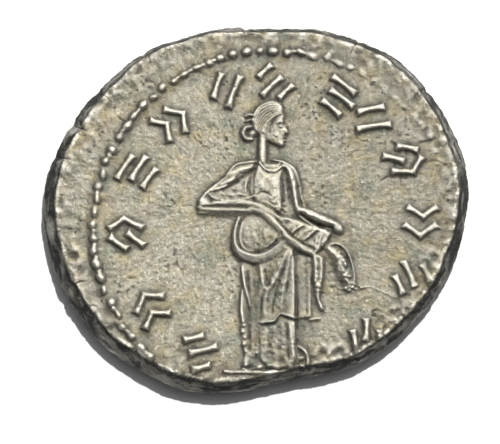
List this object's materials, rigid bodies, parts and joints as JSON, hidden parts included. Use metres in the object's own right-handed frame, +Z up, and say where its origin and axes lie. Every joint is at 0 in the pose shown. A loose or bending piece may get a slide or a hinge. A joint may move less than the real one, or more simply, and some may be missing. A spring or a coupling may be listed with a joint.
{
  "type": "ancient struck coin",
  "caption": "Flat oval hammered silver coin with a raised standing draped figure, a beaded ring and rows of strokes; a crowned bust on its underside.",
  "frame": {"origin": "middle of the coin's box, on the plane that its worn underside rests on", "axes": "+Z up out of the reverse with the standing figure, +Y towards the figure's head, +X to the figure's right-hand side of the picture"},
  "size_m": [0.0236, 0.0206, 0.0017],
  "materials": {
    "billon": "worn billon (base silver): grey with a warm, slightly green tone, darker dirt in the recesses and brighter worn high points"
  },
  "bodies": {
    "root": {"coin": "billon"}
  },
  "joints": []
}
